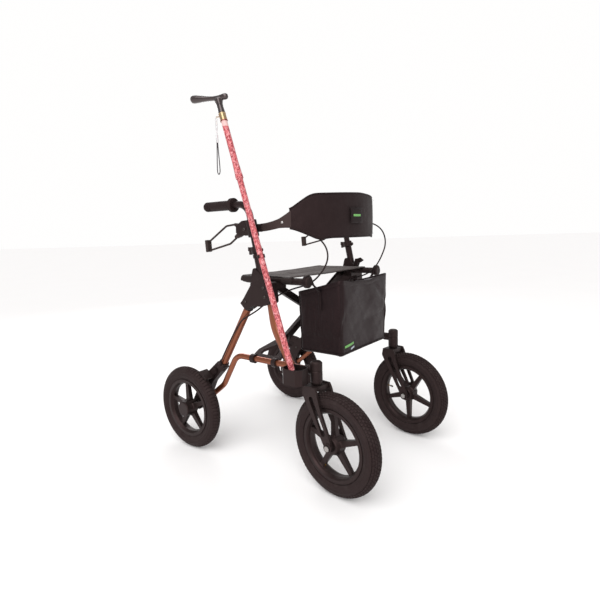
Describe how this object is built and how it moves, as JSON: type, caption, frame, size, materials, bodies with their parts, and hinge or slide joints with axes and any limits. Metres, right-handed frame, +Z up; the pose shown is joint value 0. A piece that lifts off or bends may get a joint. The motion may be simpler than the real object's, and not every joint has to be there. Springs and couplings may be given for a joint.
{
  "type": "rollator walker",
  "caption": "Folding walker on four large wheels with a sling seat, bag, curved backrest band, hand brakes and a walking cane standing in its holder.",
  "frame": {"origin": "on the floor, under the middle of the walker's box", "axes": "+Z up, -Y the direction of travel, the user's right hand on -X"},
  "size_m": [0.6612, 0.9097, 1.1906],
  "materials": {
    "copper_paint": "satin metallic",
    "black_plastic": "matte",
    "black_anodised": "satin",
    "grey_plastic": "matte",
    "grip_rubber": "matte",
    "tyre_rubber": "matte",
    "rim_plastic": "satin",
    "steel": "brushed",
    "cable_cover": "satin",
    "seat_fabric": "woven",
    "bag_fabric": "woven nylon",
    "band_fabric": "padded weave",
    "cane_print": "satin",
    "brass": "polished",
    "gloss_black": "gloss",
    "chrome": "polished"
  },
  "bodies": {
    "frame_right": {"frame_tube_right": "copper_paint", "rear_leg_right": "copper_paint", "upper_housing_right": "black_plastic", "steerer_housing_right": "black_plastic", "rear_bracket_right": "black_plastic", "post_sleeve_right": "black_anodised", "rear_axle_right": "steel", "brake_cable_right": "cable_cover", "cane_cup": "black_plastic", "cane_clip": "black_plastic"},
    "handle_right": {"handle_tube_right": "black_anodised", "grip_right": "grip_rubber", "brake_mount_right": "black_plastic", "backrest_cover": "band_fabric", "backrest_arms": "grey_plastic"},
    "brake_lever_right": {"brake_lever_right": "grey_plastic"},
    "brake_shoe_right": {"brake_shoe_right": "black_plastic"},
    "clamp_lever_right": {"clamp_lever_right": "grey_plastic"},
    "caster_right": {"caster_fork_right": "black_anodised", "front_axle_right": "steel"},
    "front_wheel_right": {"front_tyre_right": "tyre_rubber", "front_rim_right": "rim_plastic"},
    "rear_wheel_right": {"rear_tyre_right": "tyre_rubber", "rear_rim_right": "rim_plastic"},
    "frame_left": {"frame_tube_left": "copper_paint", "rear_leg_left": "copper_paint", "upper_housing_left": "black_plastic", "steerer_housing_left": "black_plastic", "rear_bracket_left": "black_plastic", "post_sleeve_left": "black_anodised", "rear_axle_left": "steel", "brake_cable_left": "cable_cover"},
    "handle_left": {"handle_tube_left": "black_anodised", "grip_left": "grip_rubber", "brake_mount_left": "black_plastic"},
    "brake_lever_left": {"brake_lever_left": "grey_plastic"},
    "brake_shoe_left": {"brake_shoe_left": "black_plastic"},
    "clamp_lever_left": {"clamp_lever_left": "grey_plastic"},
    "caster_left": {"caster_fork_left": "black_anodised", "front_axle_left": "steel"},
    "front_wheel_left": {"front_tyre_left": "tyre_rubber", "front_rim_left": "rim_plastic"},
    "rear_wheel_left": {"rear_tyre_left": "tyre_rubber", "rear_rim_left": "rim_plastic"},
    "brace_a": {"brace_bar_a": "black_anodised", "brace_bolt": "steel", "seat_rail_left": "black_plastic"},
    "brace_b": {"brace_bar_b": "black_anodised", "seat_rail_right": "black_plastic"},
    "seat": {"seat": "seat_fabric"},
    "bag": {"bag": "bag_fabric"},
    "fold_latch": {"fold_latch": "black_plastic"},
    "cane": {"cane_tip": "grip_rubber", "cane_shaft": "cane_print", "cane_collar": "brass", "cane_handle": "gloss_black", "strap_hook": "chrome", "wrist_strap": "cable_cover"}
  },
  "joints": [
    {"name": "fold", "type": "hinge", "parent": "frame_right", "child": "brace_a", "pos_m": [-0.252, -0.026, 0.361], "axis": [0, -1, 0], "range_deg": [0, 35], "deforming": ["seat", "bag", "backrest_cover", "backrest_arms", "brake_cable_right", "brake_cable_left"]},
    {"name": "brace_cross", "type": "hinge", "parent": "brace_a", "child": "brace_b", "pos_m": [0, -0.026, 0.49831], "axis": [0, -1, 0], "range_deg": [-70, 0], "deforming": ["seat", "bag", "backrest_cover", "backrest_arms", "brake_cable_right", "brake_cable_left"]},
    {"name": "fold_left", "type": "hinge", "parent": "brace_b", "child": "frame_left", "pos_m": [0.252, -0.026, 0.361], "axis": [0, -1, 0], "range_deg": [0, 35], "deforming": ["seat", "bag", "backrest_cover", "backrest_arms", "brake_cable_right", "brake_cable_left"]},
    {"name": "seat_lift", "type": "hinge", "parent": "brace_b", "child": "seat", "pos_m": [-0.216, -0.026, 0.616], "axis": [0, -1, 0], "range_deg": [0, 35], "deforming": ["seat", "bag", "backrest_cover", "backrest_arms", "brake_cable_right", "brake_cable_left"]},
    {"name": "bag_unhook", "type": "slide", "parent": "seat", "child": "bag", "axis": [0, -0.94, 0.3412], "range_m": [0, 0.3]},
    {"name": "cane_lift", "type": "slide", "parent": "frame_right", "child": "cane", "axis": [0.0093, 0.3079, 0.9514], "range_m": [0, 0.3]},
    {"name": "latch_lift", "type": "hinge", "parent": "frame_left", "child": "fold_latch", "pos_m": [0.266, -0.07, 0.649], "axis": [-1, 0, 0], "range_deg": [0, 30]},
    {"name": "caster_swivel_right", "type": "hinge", "parent": "frame_right", "child": "caster_right", "pos_m": [-0.2522, -0.2306, 0.355], "axis": [0, 0, 1], "continuous": true},
    {"name": "front_wheel_spin_right", "type": "hinge", "parent": "caster_right", "child": "front_wheel_right", "pos_m": [-0.26067, -0.29958, 0.155], "axis": [0.9925, -0.1219, 0], "continuous": true},
    {"name": "rear_wheel_spin_right", "type": "hinge", "parent": "frame_right", "child": "rear_wheel_right", "pos_m": [-0.2966, 0.306, 0.149], "axis": [1, 0, 0], "continuous": true},
    {"name": "handle_height_right", "type": "slide", "parent": "frame_right", "child": "handle_right", "axis": [0, 0.2071, 0.9783], "range_m": [0, 0.12], "deforming": ["brake_cable_right", "brake_cable_left"]},
    {"name": "brake_squeeze_right", "type": "hinge", "parent": "handle_right", "child": "brake_lever_right", "pos_m": [-0.266, 0.015, 0.778], "axis": [1, 0, 0], "range_deg": [0, 18]},
    {"name": "brake_shoe_swing_right", "type": "hinge", "parent": "frame_right", "child": "brake_shoe_right", "pos_m": [-0.269, 0.192, 0.297], "axis": [1, 0, 0], "range_deg": [-3.5, 0]},
    {"name": "height_clamp_right", "type": "hinge", "parent": "frame_right", "child": "clamp_lever_right", "pos_m": [-0.266, -0.0013, 0.717], "axis": [1, 0, 0], "range_deg": [0, 110]},
    {"name": "caster_swivel_left", "type": "hinge", "parent": "frame_left", "child": "caster_left", "pos_m": [0.2522, -0.2306, 0.355], "axis": [0, 0, 1], "continuous": true},
    {"name": "front_wheel_spin_left", "type": "hinge", "parent": "caster_left", "child": "front_wheel_left", "pos_m": [0.24373, -0.29958, 0.155], "axis": [0.9925, -0.1219, 0], "continuous": true},
    {"name": "rear_wheel_spin_left", "type": "hinge", "parent": "frame_left", "child": "rear_wheel_left", "pos_m": [0.2966, 0.306, 0.149], "axis": [1, 0, 0], "continuous": true},
    {"name": "handle_height_left", "type": "slide", "parent": "frame_left", "child": "handle_left", "axis": [0, 0.2071, 0.9783], "range_m": [0, 0.12], "deforming": ["brake_cable_right", "brake_cable_left"]},
    {"name": "brake_squeeze_left", "type": "hinge", "parent": "handle_left", "child": "brake_lever_left", "pos_m": [0.266, 0.015, 0.778], "axis": [1, 0, 0], "range_deg": [0, 18]},
    {"name": "brake_shoe_swing_left", "type": "hinge", "parent": "frame_left", "child": "brake_shoe_left", "pos_m": [0.269, 0.192, 0.297], "axis": [1, 0, 0], "range_deg": [-3.5, 0]},
    {"name": "height_clamp_left", "type": "hinge", "parent": "frame_left", "child": "clamp_lever_left", "pos_m": [0.266, -0.0013, 0.717], "axis": [1, 0, 0], "range_deg": [0, 110]}
  ],
  "couplings": [
    {"joint": "brace_cross", "follows": "fold", "ratio": -2},
    {"joint": "fold_left", "follows": "fold", "ratio": 1},
    {"joint": "seat_lift", "follows": "fold", "ratio": 1},
    {"joint": "brake_shoe_swing_right", "follows": "brake_squeeze_right", "ratio": -0.19444},
    {"joint": "brake_shoe_swing_left", "follows": "brake_squeeze_left", "ratio": -0.19444},
    {"joint": "handle_height_left", "follows": "handle_height_right", "ratio": 1}
  ]
}
